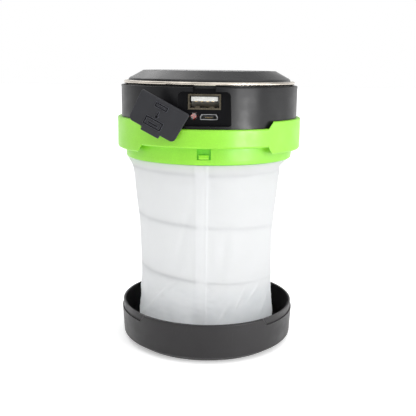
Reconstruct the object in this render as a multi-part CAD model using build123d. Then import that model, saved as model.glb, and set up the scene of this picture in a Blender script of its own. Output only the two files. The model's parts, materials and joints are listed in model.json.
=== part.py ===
from build123d import *
from math import cos, radians, sin, sqrt
import os

# Collapsible camping lantern, in millimetres, +Z up, ports facing -Y.
# The origin is the centre of the base cup's underside, where the lantern stands.
# It is modelled pulled out to full height, handle folded forward, port cover swung open.

# ---------------------------------------------------------------- driving dimensions
COLLAPSE_TRAVEL = 78.4        # how far the head slides down into the base cup
WALL = 1.6                    # moulded wall of the shell and the dome

CUP_RIM_Z = 18.6              # top of the base cup
CUP_RIM_R = 42.05
CUP_HEEL_R = 41.2             # where the wall meets the bevelled bottom edge
CUP_HEEL_Z = 2.9
CUP_FOOT_R = 36.8             # outer edge of the ring that touches the table
CUP_FOOT_INNER_R = 31.5
CUP_INNER_R = 40.3
CUP_FLOOR_Z = 3.0
FOOT_RECESS_Z = 0.8           # the middle of the underside stands clear of the table
WINDOW_R = 25.5               # torch window in the base
LENS_SEAT_R = 27.6
LENS_SEAT_Z = 1.4
GASKET_T = 0.4

RIM_GAP = 0.1                 # air left between cup rim and lock ring when collapsed
BAND_Z = CUP_RIM_Z + COLLAPSE_TRAVEL + RIM_GAP
BAND_R = 43.0                 # the widest round part of the lantern
BAND_HEIGHT = 8.0             # of its low stretches, front and back
BAND_STEP = 3.0               # the side stretches rise this much higher
LUG_DROP = 3.1                # and hang this much lower
STEP_HALF_WIDTH = 27.6        # half width of the low stretches
STEP_SLANT = 1.9              # sideways run of each slanted step
LUG_T = 1.3
LUG_CLEARANCE = 0.35          # lug to cup rim
COLLAR_R = 39.2
COLLAR_INNER_R = 37.5
COLLAR_DEPTH = 7.5
COLLAR_Z = BAND_Z - COLLAR_DEPTH
FLANGE_INNER_R = 33.5
FLANGE_T = 1.5
SNAP_HALF_WIDTH = 2.1         # snap bump, front and back of the collar
SNAP_R = 39.9
SNAP_RECESS = 0.8             # depth of the recess around it

SHELL_R = 41.2
SHELL_Z = BAND_Z + FLANGE_T   # the shell stands on the lock ring's flange
SHELL_TOP_Z = BAND_Z + 25.5
GROOVE_DEPTH = 0.7            # the handle's ledge lies this far below the shell's lip
LEDGE_Z = SHELL_TOP_Z - GROOVE_DEPTH
DECK_INNER_R = 33.0

DOME_R = 37.9
DOME_TOP_R = 30.9
DOME_TOP_Z = BAND_Z + 32.1
DOME_SKIRT_TOP_Z = BAND_Z + 28.27
PANEL_SEAT_R = 28.7
PANEL_SEAT_DEPTH = 2.3

WIRE_R = 0.8                  # handle wire
HANDLE_R = 39.2               # centre line of the handle's half ring
HANDLE_Z = SHELL_TOP_Z + 1.25
HANDLE_BEND_R = 1.8
PIN_R = 0.65                  # necked ends of the wire
PIVOT_FACE_X = 36.7

SHADE_T = 0.35
SHADE_BOTTOM_Z = CUP_FLOOR_Z + 0.3
SHADE_TOP_Z = COLLAR_Z - 0.2
HOOP_WIRE_R = 0.6
# each loose hoop's height, the radius of its centre line, and how many degrees it leans to the right
HOOPS = {"hoop_lower": (35.3, 30.8, 4.4), "hoop_middle": (60.7, 31.0, 4.0), "hoop_upper": (84.5, 33.5, 1.8)}

COVER_TOP_WIDTH = 21.2        # port cover when closed; it is a little wider at the bottom
COVER_BOTTOM_WIDTH = 22.3
COVER_HEIGHT = 13.6
COVER_T = 1.8
COVER_TOP_CORNER_R = 2.0
COVER_BOTTOM_CORNER_R = 0.9
COVER_BACK_Y = -42.4          # the open cover hangs on its pulled-out stem, clear of the lock ring
COVER_OPEN_DEG = 152.1        # turned this far from closed
MARK_LINE = 0.55              # raised marks on the cover
MARK_HEIGHT = 0.35

RECESS_GAP = 0.4              # port recess around the closed cover
RECESS_Z = BAND_Z + 16.45     # its middle
RECESS_FLOOR_Y = -38.2
RECESS_WALL = 1.2
NOTCH_HALF_WIDTH = 4.85       # finger notch above the recess

PCB_Z = BAND_Z + 14.4
PCB_T = 1.6
PCB_TOP_Z = PCB_Z + PCB_T
PCB_R = 37.0
USB_Z = PCB_TOP_Z + 3.4       # middle of the large socket
USB_WIDTH = 13.1              # outside of its shell
USB_HEIGHT = 5.75
USB_LENGTH = 14.3
USB_LIP = 0.35                # the flared lip at its mouth
SOCKET_WALL = 0.3
USB_MOUTH_Y = RECESS_FLOOR_Y - 0.4
TONGUE_REACH = 0.9            # the tongue starts this far inside the mouth
MICRO_WIDTH = 7.3             # outside of the small socket's shell
MICRO_HEIGHT = 2.25
MICRO_WALL = 0.18
MICRO_LENGTH = 5.6
MICRO_MOUTH_Y = RECESS_FLOOR_Y - 0.15
MICRO_X = 1.9                 # middle of the small socket, which hangs just under the board
MICRO_Z = PCB_Z - MICRO_HEIGHT / 2 - 0.2
INDICATOR_X = -4.4
INDICATOR_Z = PCB_Z - 1.0
INDICATOR_R = 1.6
INDICATOR_NOSE_Y = RECESS_FLOOR_Y + 0.3
STEM_X = -9.0                 # the port cover's stem
STEM_Z = BAND_Z + 12.6
STEM_R = 1.2

TRAY_T = 1.2
TRAY_TOP_Z = SHELL_Z + TRAY_T
BATTERY_SIZE = (50.0, 34.0, 8.0)
PAD_T = 0.8
BATTERY_Z = TRAY_TOP_Z + PAD_T
PLUG_Z = BATTERY_Z + BATTERY_SIZE[2] + 0.3
LED_BOARD_Z = BAND_Z - 1.7
LED_BOARD_T = 1.6
LED_BOARD_R = 30.2
DIFFUSER_Z = COLLAR_Z + 1.0
DIFFUSER_T = 1.4

BUTTON_Z = PCB_TOP_Z + 2.4
BUTTON_WIDTH = 13.6
BUTTON_HEIGHT = 7.6
BUTTON_FACE_Y = SHELL_R + 0.8

HEAD_SCREW_R = 35.6           # circle of the four screws that hold the head together
HEAD_SCREW_ANGLES = (45, 135, 225, 315)
POST_ANGLES = (-10, 60, 120, 190)
DOME_SCREW_R = 34.0
DOME_SCREW_ANGLES = (22, 158, 202, 338)
BASE_SCREW_R = 29.4
LED_SCREW_R = 26.0
LED_SCREW_ANGLES = (30, 150, 270)
SCREW_R = 1.0
SCREW_HEAD_R = 1.75
SCREW_HEAD_T = 0.9
DRIVE_WIDTH = 0.45            # of the cross recess
LEAD_R = 0.45                 # insulated wires
FIT = 0.05                    # radial gap of a screw, pin or stem in its hole
HOLE_R = SCREW_R + FIT


# ---------------------------------------------------------------- shape helpers
def turned(points, rounds=None):
    """A solid turned about the vertical axis from an outline of (radius, height) points.
    rounds gives the fillet radius of some corners, by their place in the list."""
    face = make_face(Polyline(*points, close=True))
    for index, radius in (rounds or {}).items():
        corner = face.vertices().sort_by_distance(Vertex(*points[index]))[0]
        face = fillet(corner, radius)
    return revolve(Plane.XZ * face, Axis.Z)


def block(x_range, y_range, z_range):
    """A box between two limits on each axis."""
    spans = (x_range, y_range, z_range)
    middle = [(low + high) / 2 for low, high in spans]
    return Pos(*middle) * Box(*[high - low for low, high in spans])


def rod(radius, start, end):
    """A round bar from one point to another."""
    along = Vector(*end) - Vector(*start)
    return Solid.make_cylinder(radius, along.length, Plane(origin=start, z_dir=along))


def plate(sketch, x, z, y_back, y_front):
    """A sketch drawn as seen from the front, made solid between two depths."""
    front = Plane(origin=(x, y_back, z), x_dir=(1, 0, 0), z_dir=(0, -1, 0))
    return extrude(front * sketch, amount=y_back - y_front)


def side_wedges(outline):
    """An outline of (x, z) points on the right, extruded right through, and its mirror image."""
    right = extrude(Plane.XZ * make_face(Polyline(*outline, close=True)), amount=60, both=True)
    return right + mirror(right, Plane.YZ)


def around(radius, angles, z=0.0):
    """Points on a circle about the vertical axis."""
    return [(radius * cos(radians(a)), radius * sin(radians(a)), z) for a in angles]


def disc(radius, z, thickness):
    """A flat round plate about the vertical axis, standing on a height."""
    return rod(radius, (0, 0, z), (0, 0, z + thickness))


def screw(x, y, head_z, tip_z, head_r=SCREW_HEAD_R, head_t=SCREW_HEAD_T):
    """A pan head screw with a cross recess, driven upwards."""
    head = rod(head_r, (x, y, head_z), (x, y, head_z - head_t))
    shank = rod(SCREW_R, (x, y, head_z), (x, y, tip_z))
    reach = 1.24 * head_r
    drive = Box(reach, DRIVE_WIDTH, head_t) + Box(DRIVE_WIDTH, reach, head_t)
    return head + shank - Pos(x, y, head_z - head_t) * drive


def lead(points, bend):
    """An insulated wire along straight runs joined by arcs."""
    path = FilletPolyline(*points, radius=bend)
    section = Plane(origin=path @ 0, z_dir=path % 0) * Circle(LEAD_R)
    return sweep(section, path=path)


def save(name, *solids):
    """Writes one node: a single solid, or a group of separate ones."""
    pieces = [solid for shape in solids for solid in shape.solids()]
    export_step(Compound(children=pieces) if len(pieces) > 1 else pieces[0], f"parts/{name}.step")


# ---------------------------------------------------------------- base
def base_cup():
    outline = [
        (CUP_FOOT_R, 0), (CUP_HEEL_R, CUP_HEEL_Z), (CUP_RIM_R, CUP_RIM_Z), (CUP_INNER_R, CUP_RIM_Z),
        (CUP_INNER_R - 0.7, CUP_FLOOR_Z), (LENS_SEAT_R, CUP_FLOOR_Z), (LENS_SEAT_R, LENS_SEAT_Z),
        (WINDOW_R, LENS_SEAT_Z),
        (WINDOW_R, FOOT_RECESS_Z), (CUP_FOOT_INNER_R, FOOT_RECESS_Z), (CUP_FOOT_INNER_R, 0),
    ]
    cup = turned(outline, {0: 0.6, 1: 1.3, 2: 0.45, 3: 0.3, 4: 1.8})
    # the rim is thinner at the sides, where the lock ring's lugs come down around it
    inset_r = BAND_R - LUG_T - LUG_CLEARANCE
    inset_z = CUP_RIM_Z - LUG_DROP - 0.2
    inset = turned([(inset_r, inset_z), (45, inset_z), (45, 20), (inset_r, 20)])
    inset_x = STEP_HALF_WIDTH - 0.3
    cup -= inset & side_wedges([(inset_x, 20), (inset_x, CUP_RIM_Z), (inset_x + STEP_SLANT, inset_z),
                                (60, inset_z), (60, 20)])
    # pockets for the collar's two snap bumps, front and back
    pocket = turned([(CUP_INNER_R - 1, 13.2), (CUP_INNER_R + 0.6, 13.2), (CUP_INNER_R + 0.6, 16.2),
                     (CUP_INNER_R - 1, 16.2)])
    cup -= pocket & block((-2.6, 2.6), (-60, 60), (13, 17))
    for x, y, _ in around(BASE_SCREW_R, HEAD_SCREW_ANGLES):
        cup -= rod(HOLE_R, (x, y, 0), (x, y, 4)) + rod(1.85, (x, y, 0), (x, y, 1.7))
    return cup


def base_lens():
    low_z, flange_z = FOOT_RECESS_Z + 0.15, LENS_SEAT_Z + GASKET_T
    return turned([(0, low_z), (WINDOW_R - 0.2, low_z), (WINDOW_R - 0.2, flange_z),
                   (LENS_SEAT_R - 0.2, flange_z), (LENS_SEAT_R - 0.2, CUP_FLOOR_Z), (0, CUP_FLOOR_Z)])


def lens_gasket():
    inner, outer = WINDOW_R + 0.2, LENS_SEAT_R - 0.2
    top_z = LENS_SEAT_Z + GASKET_T
    return turned([(inner, LENS_SEAT_Z), (outer, LENS_SEAT_Z), (outer, top_z), (inner, top_z)])


def shade_bottom_ring():
    ring = turned([(24.8, CUP_FLOOR_Z), (31.2, CUP_FLOOR_Z), (31.2, 4.4), (24.8, 4.4)], {2: 0.5, 3: 0.5})
    for x, y, _ in around(BASE_SCREW_R, HEAD_SCREW_ANGLES):
        ring -= rod(HOLE_R, (x, y, 0), (x, y, 6))
    return ring


def base_screws():
    places = around(BASE_SCREW_R, HEAD_SCREW_ANGLES)
    return [screw(x, y, 1.7, 4.3, head_r=1.7, head_t=0.8) for x, y, _ in places]


# ---------------------------------------------------------------- shade
def shade_outline(inset):
    """The sleeve's outline from its foot to its flared top, moved in by a distance."""
    shape = [(31.8, SHADE_BOTTOM_Z), (31.85, 22), (32.3, 47), (33.0, 70), (34.3, 79.6), (36.1, 85.3),
             (38.5, SHADE_TOP_Z)]
    return Spline(*[(r - inset, z) for r, z in shape])


def shade():
    outer = shade_outline(0)
    inner = shade_outline(SHADE_T)
    bottom = Line(outer @ 0, inner @ 0)
    top = Line(outer @ 1, inner @ 1)
    return revolve(Plane.XZ * make_face([outer, inner, bottom, top]), Axis.Z)


def hoop(name):
    z, radius, lean = HOOPS[name]
    return Pos(0, 0, z) * Rot(0, lean, 0) * Torus(radius, HOOP_WIRE_R)


def shade_top_ring():
    low_z, ledge_z, top_z = COLLAR_Z - 0.7, COLLAR_Z + 1, COLLAR_Z + 2.6
    inner_r, lip_r = 35.4, 37.1
    return turned([(inner_r, low_z), (lip_r, low_z), (lip_r, ledge_z), (COLLAR_INNER_R, ledge_z),
                   (COLLAR_INNER_R, top_z), (inner_r, top_z)])


# ---------------------------------------------------------------- head: lock ring
def band():
    """The band's side stretches, which reach higher and lower than the rest, with slanted ends."""
    top_z = BAND_Z + BAND_HEIGHT + BAND_STEP
    bottom_z = BAND_Z - LUG_DROP
    lug_inner_r = BAND_R - LUG_T
    ring = turned([(lug_inner_r, bottom_z), (BAND_R, bottom_z), (BAND_R, top_z), (SHELL_R + 0.02, top_z),
                   (SHELL_R + 0.02, BAND_Z), (lug_inner_r, BAND_Z)], {1: 0.9, 2: 0.5})
    slant_x = STEP_HALF_WIDTH + STEP_SLANT
    low_top_z = BAND_Z + BAND_HEIGHT
    sides = side_wedges([(slant_x, bottom_z), (STEP_HALF_WIDTH, BAND_Z), (STEP_HALF_WIDTH, low_top_z),
                         (slant_x, top_z), (60, top_z), (60, bottom_z)])
    return ring & sides


def lock_ring():
    outline = [
        (FLANGE_INNER_R, BAND_Z), (COLLAR_INNER_R, BAND_Z), (COLLAR_INNER_R, COLLAR_Z),
        (COLLAR_R - 0.2, COLLAR_Z), (COLLAR_R, COLLAR_Z + 1.8), (COLLAR_R, BAND_Z), (BAND_R, BAND_Z),
        (BAND_R, BAND_Z + BAND_HEIGHT), (SHELL_R + 0.02, BAND_Z + BAND_HEIGHT), (SHELL_R + 0.02, SHELL_Z),
        (FLANGE_INNER_R, SHELL_Z),
    ]
    ring = turned(outline, {3: 0.55, 6: 0.9, 7: 0.5})
    ring += band()
    # a shallow recess in the collar, front and back, with a snap bump in it
    recess_r, recess_z = COLLAR_R - SNAP_RECESS, BAND_Z - 5.1
    recess = turned([(recess_r, recess_z), (COLLAR_R + 1, recess_z), (COLLAR_R + 1, BAND_Z),
                     (recess_r, BAND_Z)])
    recess_half = SNAP_HALF_WIDTH + 0.9
    ring -= recess & block((-recess_half, recess_half), (-60, 60), (COLLAR_Z, BAND_Z))
    root_r, top_z = recess_r - 0.2, BAND_Z - 3.0
    bump = turned([(root_r, recess_z), (SNAP_R - 0.4, recess_z + 0.3), (SNAP_R, recess_z + 0.9),
                   (SNAP_R - 0.2, top_z), (root_r, top_z)])
    ring += bump & block((-SNAP_HALF_WIDTH, SNAP_HALF_WIDTH), (-60, 60), (COLLAR_Z, BAND_Z))
    for x, y, z in around(HEAD_SCREW_R, HEAD_SCREW_ANGLES, BAND_Z):
        ring -= rod(HOLE_R, (x, y, z - 1), (x, y, z + 3))
    return ring


# ---------------------------------------------------------------- head: shell and dome
def port_outline(grow):
    """The closed port cover's outline: wider and squarer at the bottom, rounder at the top."""
    top = COVER_TOP_WIDTH / 2 + grow
    bottom = COVER_BOTTOM_WIDTH / 2 + grow
    half = COVER_HEIGHT / 2 + grow
    shape = make_face(Polyline((-bottom, -half), (bottom, -half), (top, half), (-top, half), close=True))
    upper = shape.vertices().sort_by(Axis.Y)[2:]
    shape = fillet(upper, COVER_TOP_CORNER_R)
    lower = [shape.vertices().sort_by_distance(Vertex(side * bottom, -half))[0] for side in (-1, 1)]
    return fillet(lower, COVER_BOTTOM_CORNER_R)


def port_openings():
    """Everything cut through the floor of the port recess."""
    back = RECESS_FLOOR_Y + RECESS_WALL + 1
    front = RECESS_FLOOR_Y - 1
    cuts = plate(Rectangle(USB_WIDTH + 1, USB_HEIGHT + 0.95), 0, USB_Z, back, front)
    cuts += plate(micro_outline(0.15), MICRO_X, MICRO_Z, back, front)
    cuts += rod(INDICATOR_R + FIT, (INDICATOR_X, back, INDICATOR_Z), (INDICATOR_X, front, INDICATOR_Z))
    cuts += rod(STEM_R + FIT, (STEM_X, back, STEM_Z), (STEM_X, front, STEM_Z))
    return cuts


def body_shell():
    outline = [
        (SHELL_R - WALL, SHELL_Z), (SHELL_R, SHELL_Z), (SHELL_R, SHELL_TOP_Z), (SHELL_R - 0.8, SHELL_TOP_Z),
        (SHELL_R - 0.8, LEDGE_Z), (DECK_INNER_R, LEDGE_Z), (DECK_INNER_R, LEDGE_Z - 1.5),
        (SHELL_R - WALL, LEDGE_Z - 1.5),
    ]
    shell = turned(outline, {2: 0.4})
    deck_z = LEDGE_Z - 1.5
    for x, y, _ in around(HEAD_SCREW_R, HEAD_SCREW_ANGLES):
        shell += rod(4.1, (x, y, TRAY_TOP_Z), (x, y, deck_z))
        shell -= rod(HOLE_R, (x, y, TRAY_TOP_Z - 1), (x, y, TRAY_TOP_Z + 9))
    for x, y, _ in around(HEAD_SCREW_R, POST_ANGLES):
        shell += rod(2.3, (x, y, PCB_TOP_Z), (x, y, deck_z))
        shell -= rod(HOLE_R, (x, y, PCB_TOP_Z - 1), (x, y, PCB_TOP_Z + 5))
    for x, y, _ in around(DOME_SCREW_R, DOME_SCREW_ANGLES):
        shell -= rod(HOLE_R, (x, y, deck_z - 1), (x, y, LEDGE_Z + 1))
    half = COVER_BOTTOM_WIDTH / 2 + RECESS_GAP + 1.2
    low_z = RECESS_Z - COVER_HEIGHT / 2 - RECESS_GAP - 1.2
    shell += block((-half, half), (-SHELL_R + WALL - 0.1, RECESS_FLOOR_Y + RECESS_WALL), (low_z, deck_z))
    # the block behind the recess is trimmed where it would stand out of the shell
    shell &= disc(SHELL_R, SHELL_Z, 30)
    shell -= plate(port_outline(RECESS_GAP), 0, RECESS_Z, RECESS_FLOOR_Y, -50)
    shell -= block((-NOTCH_HALF_WIDTH, NOTCH_HALF_WIDTH), (-50, RECESS_FLOOR_Y), (RECESS_Z, SHELL_TOP_Z + 1))
    shell -= port_openings()
    shell -= plate(SlotOverall(BUTTON_WIDTH + 0.3, BUTTON_HEIGHT + 0.3), 0, BUTTON_Z, 50, 35)
    return shell


def dome_cover():
    seat_z = DOME_TOP_Z - PANEL_SEAT_DEPTH
    foot_z = LEDGE_Z + 0.05
    slope = (DOME_TOP_Z - DOME_SKIRT_TOP_Z) / (DOME_R - DOME_TOP_R)
    inner_r = DOME_R - 1.7
    ceiling_z = seat_z - 1.3
    # the sloping wall is 1.7 thick, measured straight down
    outline = [
        (inner_r, foot_z), (DOME_R, foot_z), (DOME_R, DOME_SKIRT_TOP_Z), (DOME_TOP_R, DOME_TOP_Z),
        (PANEL_SEAT_R, DOME_TOP_Z), (PANEL_SEAT_R, seat_z), (0, seat_z), (0, ceiling_z),
        (DOME_R - (ceiling_z + 1.7 - DOME_SKIRT_TOP_Z) / slope, ceiling_z),
        (inner_r, DOME_SKIRT_TOP_Z + (DOME_R - inner_r) * slope - 1.7),
    ]
    dome = turned(outline, {2: 1.2, 3: 1.0, 4: 0.2})
    for x, y, _ in around(DOME_SCREW_R, DOME_SCREW_ANGLES):
        dome += rod(2.0, (x, y, foot_z), (x, y, ceiling_z + 0.5))
        dome -= rod(HOLE_R, (x, y, foot_z - 1), (x, y, foot_z + 3.2))
    # a flat pocket each side for the bent end of the handle, with a thick cheek behind it
    for side in (-1, 1):
        cheek = block((34.8, PIVOT_FACE_X), (-4.2, 4.2), (foot_z, ceiling_z + 0.5))
        pocket = block((PIVOT_FACE_X, 45), (-3.4, 3.4), (foot_z - 1, DOME_TOP_Z))
        hole = rod(PIN_R + 0.07, (34, 0, HANDLE_Z), (38, 0, HANDLE_Z))
        if side < 0:
            cheek, pocket, hole = (mirror(shape, Plane.YZ) for shape in (cheek, pocket, hole))
        dome = dome + cheek - pocket - hole
    dome -= rod(1.5, (0, 10, seat_z - 3), (0, 10, seat_z + 1))
    return dome


def dome_screws():
    places = around(DOME_SCREW_R, DOME_SCREW_ANGLES)
    return [screw(x, y, LEDGE_Z - 1.5, LEDGE_Z + 3) for x, y, _ in places]


def solar_panel():
    return disc(PANEL_SEAT_R - 0.4, DOME_TOP_Z - PANEL_SEAT_DEPTH, 1.2)


def solar_window():
    radius, low_z, top_z = PANEL_SEAT_R - 0.1, DOME_TOP_Z - 1.1, DOME_TOP_Z - 0.1
    return turned([(0, low_z), (radius, low_z), (radius, top_z), (0, top_z)], {2: 0.2})


# ---------------------------------------------------------------- handle
def carry_handle():
    """A half ring of wire whose ends turn in towards each other and neck down to pivot pins."""
    reach = HANDLE_R - HANDLE_BEND_R
    bend_x = sqrt(reach**2 - HANDLE_BEND_R**2)
    shoulder_x = PIVOT_FACE_X + 0.3
    joint = (bend_x * HANDLE_R / reach, -HANDLE_BEND_R * HANDLE_R / reach)
    elbow = (bend_x + HANDLE_BEND_R * cos(radians(45)), -HANDLE_BEND_R * (1 - sin(radians(45))))
    path = Wire([
        Line((shoulder_x, 0), (bend_x, 0)),
        ThreePointArc((bend_x, 0), elbow, joint),
        ThreePointArc(joint, (0, -HANDLE_R), (-joint[0], joint[1])),
        ThreePointArc((-joint[0], joint[1]), (-elbow[0], elbow[1]), (-bend_x, 0)),
        Line((-bend_x, 0), (-shoulder_x, 0)),
    ])
    wire = sweep(Plane(origin=(shoulder_x, 0, 0), z_dir=(1, 0, 0)) * Circle(WIRE_R), path=path)
    pin = rod(PIN_R, (shoulder_x + 0.2, 0, 0), (35.2, 0, 0))
    return Pos(0, 0, HANDLE_Z) * (wire + pin + mirror(pin, Plane.YZ))


# ---------------------------------------------------------------- port cover
def outlined(width, height):
    """The raised line round a rectangle."""
    return Rectangle(width, height) - Rectangle(width - 2 * MARK_LINE, height - 2 * MARK_LINE)


def cover_marks():
    """Raised marks on the cover: a large socket, an arrow pointing at it and a small socket."""
    large = outlined(8.0, 3.6) + Pos(0, 0.35) * Rectangle(4.6, MARK_LINE)
    arrow = Rectangle(MARK_LINE, 2.2) + Pos(0, 1.2) * RegularPolygon(1.0, 3, rotation=90)
    small = outlined(5.6, 1.9)
    return Pos(0, 3.7) * large + Pos(0, -0.5) * arrow + Pos(0, -3.9) * small


def port_cover():
    """A soft flap on a round stem that passes through the recess floor and ends in a bulb."""
    front_y = COVER_BACK_Y - COVER_T
    outline = port_outline(0) + Pos(0, COVER_HEIGHT / 2) * RectangleRounded(8.4, 3.0, 0.5)
    flap = plate(outline, 0, RECESS_Z, COVER_BACK_Y, front_y)
    flap = fillet(flap.faces().sort_by(Axis.Y)[0].outer_wire().edges(), 0.35)
    flap += plate(cover_marks(), 0.6, RECESS_Z - 0.2, front_y + 0.3, front_y - MARK_HEIGHT)
    # low ribs on the back that centre the closed cover on the two sockets
    rib_y = COVER_BACK_Y + 0.8
    large_rib = RectangleRounded(11.4, 4.0, 0.6) - RectangleRounded(9.0, 1.8, 0.4)
    flap += plate(large_rib, 0, USB_Z, rib_y, front_y + 0.5)
    flap += plate(RectangleRounded(5.6, 1.3, 0.4), MICRO_X, MICRO_Z, rib_y, front_y + 0.5)
    bulb_y = RECESS_FLOOR_Y + RECESS_WALL + 0.1
    flap += rod(STEM_R, (STEM_X, front_y + 0.5, STEM_Z), (STEM_X, bulb_y + 0.5, STEM_Z))
    flap += rod(1.9, (STEM_X, bulb_y, STEM_Z), (STEM_X, bulb_y + 1.0, STEM_Z))
    stem_axis = Axis((STEM_X, 0, STEM_Z), (0, 1, 0))
    return flap.rotate(stem_axis, -COVER_OPEN_DEG)


# ---------------------------------------------------------------- sockets and charge light
def usb_a_shell():
    mouth_y = USB_MOUTH_Y
    back_y = mouth_y + USB_LENGTH
    outside = Rectangle(USB_WIDTH, USB_HEIGHT)
    opening = Rectangle(USB_WIDTH - 2 * SOCKET_WALL, USB_HEIGHT - 2 * SOCKET_WALL)
    lip = Rectangle(USB_WIDTH + 2 * USB_LIP, USB_HEIGHT + 2 * USB_LIP)
    tube = plate(outside - opening, 0, USB_Z, back_y, mouth_y)
    tube += plate(lip - opening, 0, USB_Z, mouth_y + USB_LIP, mouth_y)
    tube += plate(outside, 0, USB_Z, back_y, back_y - SOCKET_WALL)
    # two contact springs pressed up from the floor of the shell
    for x in (-3.0, 3.0):
        tube += block((x - 1.1, x + 1.1), (mouth_y + 1.2, mouth_y + 7.5), (USB_Z - 2.6, USB_Z - 2.0))
        tube -= block((x - 1.3, x + 1.3), (mouth_y + 0.9, mouth_y + 1.2), (USB_Z - 3.0, USB_Z - 1.8))
    # four solder legs down to the board
    for x in (-6.4, 6.4):
        for y in (mouth_y + 4.5, mouth_y + 11):
            tube += block((x - 0.15, x + 0.15), (y - 0.8, y + 0.8), (PCB_TOP_Z, USB_Z - 2.7))
    return tube


def usb_a_tongue():
    start_y = USB_MOUTH_Y + TONGUE_REACH
    back_y = USB_MOUTH_Y + USB_LENGTH - 0.4
    tongue = block((-5.6, 5.6), (start_y, back_y), (USB_Z + 0.25, USB_Z + 2.1))
    return tongue + block((-6.2, 6.2), (back_y - 3.4, back_y), (USB_Z - 2.5, USB_Z + 2.5))


def usb_a_contacts():
    start_y = USB_MOUTH_Y + TONGUE_REACH + 0.4
    places = (-3.5, -1.2, 1.2, 3.5)
    return [block((x - 0.5, x + 0.5), (start_y, start_y + 9.1), (USB_Z, USB_Z + 0.24)) for x in places]


def micro_outline(grow):
    """The small socket's outline: flat and wide below, with its upper corners cut off."""
    wide = MICRO_WIDTH / 2 + grow
    high = MICRO_HEIGHT / 2 + grow
    heel = 0.3
    shoulder = high - 1.0
    corner_x = wide - 0.6
    return make_face(Polyline(
        (-wide + heel, -high), (wide - heel, -high), (wide, heel - high), (wide, shoulder), (corner_x, high),
        (-corner_x, high), (-wide, shoulder), (-wide, heel - high), close=True))


def micro_usb_shell():
    back_y = MICRO_MOUTH_Y + MICRO_LENGTH
    shell = plate(micro_outline(0) - micro_outline(-MICRO_WALL), MICRO_X, MICRO_Z, back_y, MICRO_MOUTH_Y)
    return shell + plate(micro_outline(0), MICRO_X, MICRO_Z, back_y, back_y - SOCKET_WALL)


def micro_usb_tongue():
    mouth_y = MICRO_MOUTH_Y
    tongue = plate(Rectangle(3.7, 0.6), MICRO_X, MICRO_Z + 0.1, mouth_y + 5.0, mouth_y + 0.5)
    return tongue + plate(micro_outline(-0.3), MICRO_X, MICRO_Z, mouth_y + 5.2, mouth_y + 3.6)


def micro_usb_contacts():
    y_range = (MICRO_MOUTH_Y + 0.8, MICRO_MOUTH_Y + 3.5)
    top_z = MICRO_Z - 0.2
    places = [MICRO_X + 0.65 * n for n in range(-2, 3)]
    return [block((x - 0.18, x + 0.18), y_range, (top_z - 0.12, top_z)) for x in places]


def charge_light():
    """A clear round-nosed lamp with a hollow that holds its dies."""
    nose_y = INDICATOR_NOSE_Y
    back_y = nose_y + 4.3
    lamp = rod(INDICATOR_R, (INDICATOR_X, nose_y, INDICATOR_Z), (INDICATOR_X, back_y, INDICATOR_Z))
    lamp += Pos(INDICATOR_X, nose_y, INDICATOR_Z) * Sphere(INDICATOR_R)
    return lamp - rod(1.15, (INDICATOR_X, nose_y - 0.2, INDICATOR_Z), (INDICATOR_X, back_y + 1, INDICATOR_Z))


def charge_light_dies():
    nose_y = INDICATOR_NOSE_Y
    cup = rod(1.1, (INDICATOR_X, nose_y + 1.0, INDICATOR_Z), (INDICATOR_X, nose_y + 4.2, INDICATOR_Z))
    for x, z in ((-0.35, 0.4), (0.3, -0.35)):
        cup += Pos(INDICATOR_X + x, nose_y + 0.8, INDICATOR_Z + z) * Box(0.55, 0.5, 0.55)
    return cup


# ---------------------------------------------------------------- circuit board
def main_pcb():
    board = disc(PCB_R, PCB_Z, PCB_T)
    board &= block((-50, 50), (-34, 34.5), (PCB_Z - 1, PCB_TOP_Z + 1))
    board += block((-7.3, 8.5), (RECESS_FLOOR_Y + RECESS_WALL + 0.2, -30), (PCB_Z, PCB_TOP_Z))
    # the charge light lies in a slot in the front edge
    board -= block((INDICATOR_X - 1.75, INDICATOR_X + 1.75), (-40, -33.4), (PCB_Z - 1, PCB_TOP_Z + 1))
    for x, y, z in around(HEAD_SCREW_R, HEAD_SCREW_ANGLES, PCB_Z):
        board -= rod(4.5, (x, y, z - 1), (x, y, z + 3))
    for x, y, z in around(HEAD_SCREW_R, POST_ANGLES, PCB_Z):
        board -= rod(HOLE_R, (x, y, z - 1), (x, y, z + 3))
    return board


def pcb_screws():
    places = around(HEAD_SCREW_R, POST_ANGLES)
    return [screw(x, y, PCB_Z, PCB_TOP_Z + 4.5) for x, y, _ in places]


def chip(x, y, width, length, legs):
    """A flat moulded chip with a row of legs along each long side."""
    side_x, end_y = width / 2, length / 2
    body = block((x - side_x, x + side_x), (y - end_y, y + end_y), (PCB_TOP_Z + 0.15, PCB_TOP_Z + 1.6))
    foot_x = side_x + 1
    for n in range(legs):
        leg_y = y - end_y + length / legs * (n + 0.5)
        body += block((x - foot_x, x + foot_x), (leg_y - 0.2, leg_y + 0.2), (PCB_TOP_Z, PCB_TOP_Z + 0.3))
    return body


def controller_chips():
    return [chip(15, 4, 3.9, 5.0, 4), chip(-16, 8, 3.9, 5.0, 4), chip(-14, -12, 4.4, 8.7, 7)]


def power_inductor():
    core = Pos(14, -11, PCB_TOP_Z + 2) * Box(7, 7, 4)
    core = fillet(core.edges().filter_by(Axis.Z), 1.2)
    return core - Pos(14, -11, PCB_TOP_Z + 4) * (Cylinder(3.0, 0.8) - Cylinder(2.3, 0.8))


def capacitors():
    cans = []
    for x, y in ((4, 4), (-6, -6), (6, -14)):
        can = rod(2.5, (x, y, PCB_TOP_Z), (x, y, PCB_TOP_Z + 5.5))
        cans.append(fillet(can.edges().sort_by(Axis.Z)[-1], 0.4))
    return cans


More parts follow.
